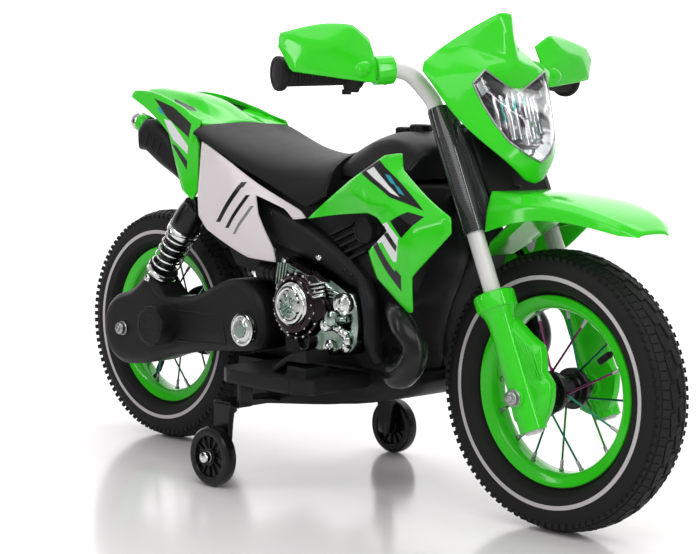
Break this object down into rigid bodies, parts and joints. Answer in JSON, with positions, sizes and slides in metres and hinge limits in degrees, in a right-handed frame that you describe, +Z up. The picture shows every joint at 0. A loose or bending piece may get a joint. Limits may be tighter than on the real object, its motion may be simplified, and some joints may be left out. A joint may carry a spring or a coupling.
{
  "type": "kids ride-on motorcycle",
  "caption": "Battery ride-on toy motorcycle in off-road style, with steerable fork, sprung rear swingarm, spoked wheels, foot pedal and small training wheels.",
  "frame": {"origin": "ground contact point of the rear tyre, in the mid-plane", "axes": "+X forward, +Y to the rider's left, +Z up"},
  "size_m": [1.0084, 0.538, 0.5805],
  "materials": {
    "tyre_rubber": "matt, block tread",
    "green_gloss": "glossy lime green",
    "white_gloss": "glossy white",
    "white_tube": "white gloss paint",
    "black_plastic": "semi-matt, fine grain",
    "seat_skin": "soft matt grain",
    "grip_rubber": "matt rubber",
    "chrome_plate": "bright plating",
    "zinc_steel": "plain zinc plated",
    "spoke_colour": "bright green to violet plating",
    "gear_nylon": "natural nylon",
    "clear_lens": "clear",
    "battery_case": "dark grey",
    "frame_black": "black powder coat"
  },
  "bodies": {
    "frame": {"main_frame": "frame_black", "body_shell_R": "black_plastic", "body_shell_L": "black_plastic", "floor_pan": "black_plastic", "seat": "seat_skin", "tank_cover": "black_plastic", "tail_cover": "green_gloss", "side_panel_R": "white_gloss", "side_panel_L": "white_gloss", "tank_shroud_R": "green_gloss", "tank_shroud_L": "green_gloss", "muffler_R": "black_plastic", "muffler_L": "black_plastic", "engine_cover_R": "chrome_plate", "engine_cover_L": "chrome_plate", "battery": "battery_case", "pivot_bolt": "chrome_plate", "training_arm_R": "frame_black", "training_arm_L": "frame_black"},
    "swingarm": {"swingarm_casing_R": "black_plastic", "swingarm_casing_L": "black_plastic", "gearcase_cover": "black_plastic", "drive_motor": "zinc_steel", "rear_axle": "zinc_steel"},
    "rear_wheel": {"rear_tyre": "tyre_rubber", "rear_rim": "green_gloss", "rear_hub_and_spokes": "spoke_colour", "wheel_gear": "gear_nylon"},
    "motor_pinion": {"drive_pinion": "zinc_steel"},
    "fork": {"steering_stem": "zinc_steel", "fork_tube_R": "white_tube", "fork_tube_L": "white_tube", "fork_lower_cover_R": "green_gloss", "fork_lower_cover_L": "green_gloss", "fork_upper_cover_R": "black_plastic", "fork_upper_cover_L": "black_plastic", "front_fender": "green_gloss", "headlight_mask": "green_gloss", "headlight_reflector": "chrome_plate", "headlight_lens": "clear_lens", "mask_back_cover": "black_plastic", "grip_R": "grip_rubber", "grip_L": "grip_rubber", "hand_guard_R": "green_gloss", "hand_guard_L": "green_gloss", "front_axle": "zinc_steel"},
    "front_wheel": {"front_tyre": "tyre_rubber", "front_rim": "green_gloss", "front_hub_and_spokes": "spoke_colour"},
    "horn_button": {"horn_button": "green_gloss"},
    "accelerator_pedal": {"accelerator_pedal": "black_plastic"},
    "power_switch": {"power_switch": "grip_rubber"},
    "training_wheel_R": {"training_wheel_R": "black_plastic"},
    "training_wheel_L": {"training_wheel_L": "black_plastic"},
    "shock_upper_R": {"shock_upper_R": "black_plastic", "shock_spring_R": "chrome_plate"},
    "shock_lower_R": {"shock_lower_R": "chrome_plate"},
    "shock_upper_L": {"shock_upper_L": "black_plastic", "shock_spring_L": "chrome_plate"},
    "shock_lower_L": {"shock_lower_L": "chrome_plate"}
  },
  "joints": [
    {"name": "steering", "type": "hinge", "parent": "frame", "child": "fork", "pos_m": [0.656, 0, 0.1448], "axis": [-0.4067, 0, 0.9135], "range_deg": [-30, 30]},
    {"name": "front_wheel_spin", "type": "hinge", "parent": "fork", "child": "front_wheel", "pos_m": [0.688, 0, 0.159], "axis": [0, 1, 0], "continuous": true},
    {"name": "swingarm_pivot", "type": "hinge", "parent": "frame", "child": "swingarm", "pos_m": [0.254, 0, 0.186], "axis": [0, 1, 0], "range_deg": [0, 4], "stiffness_Nm_per_rad": 150, "springref_deg": -8.59},
    {"name": "rear_wheel_spin", "type": "hinge", "parent": "swingarm", "child": "rear_wheel", "pos_m": [0, 0, 0.159], "axis": [0, 1, 0], "continuous": true},
    {"name": "pinion_spin", "type": "hinge", "parent": "swingarm", "child": "motor_pinion", "pos_m": [0.0533, -0.056, 0.16769], "axis": [0, 1, 0], "continuous": true},
    {"name": "shock_hinge_R", "type": "hinge", "parent": "frame", "child": "shock_upper_R", "pos_m": [0.128, -0.071, 0.333], "axis": [0, 1, 0], "range_deg": [0, 2.88]},
    {"name": "shock_slide_R", "type": "slide", "parent": "shock_upper_R", "child": "shock_lower_R", "axis": [0.6074, 0, 0.7944], "range_m": [0, 0.01338], "deforming": ["shock_spring_R"]},
    {"name": "shock_hinge_L", "type": "hinge", "parent": "frame", "child": "shock_upper_L", "pos_m": [0.128, 0.071, 0.333], "axis": [0, 1, 0], "range_deg": [0, 2.88]},
    {"name": "shock_slide_L", "type": "slide", "parent": "shock_upper_L", "child": "shock_lower_L", "axis": [0.6074, 0, 0.7944], "range_m": [0, 0.01338], "deforming": ["shock_spring_L"]},
    {"name": "horn_button_press", "type": "slide", "parent": "fork", "child": "horn_button", "axis": [0, 0, 1], "range_m": [0, 0.002], "stiffness_N_per_m": 400, "springref_m": -0.003},
    {"name": "accelerator_press", "type": "hinge", "parent": "frame", "child": "accelerator_pedal", "pos_m": [0.3725, -0.131, 0.1565], "axis": [0, 1, 0], "range_deg": [0, 4.5], "stiffness_Nm_per_rad": 2, "springref_deg": -5.73},
    {"name": "power_switch_rock", "type": "hinge", "parent": "frame", "child": "power_switch", "pos_m": [0.43, 0.068, 0.392], "axis": [0, 0, 1], "range_deg": [0, 14]},
    {"name": "training_wheel_spin_R", "type": "hinge", "parent": "frame", "child": "training_wheel_R", "pos_m": [0.274, -0.159, 0.037], "axis": [0, 1, 0], "continuous": true},
    {"name": "training_wheel_spin_L", "type": "hinge", "parent": "frame", "child": "training_wheel_L", "pos_m": [0.274, 0.159, 0.037], "axis": [0, 1, 0], "continuous": true}
  ],
  "couplings": [
    {"joint": "pinion_spin", "follows": "rear_wheel_spin", "ratio": -4},
    {"joint": "shock_hinge_R", "follows": "swingarm_pivot", "ratio": 0.7082},
    {"joint": "shock_slide_R", "follows": "swingarm_pivot", "m_per_rad": 0.19029},
    {"joint": "shock_hinge_L", "follows": "swingarm_pivot", "ratio": 0.7082},
    {"joint": "shock_slide_L", "follows": "swingarm_pivot", "m_per_rad": 0.19029}
  ]
}
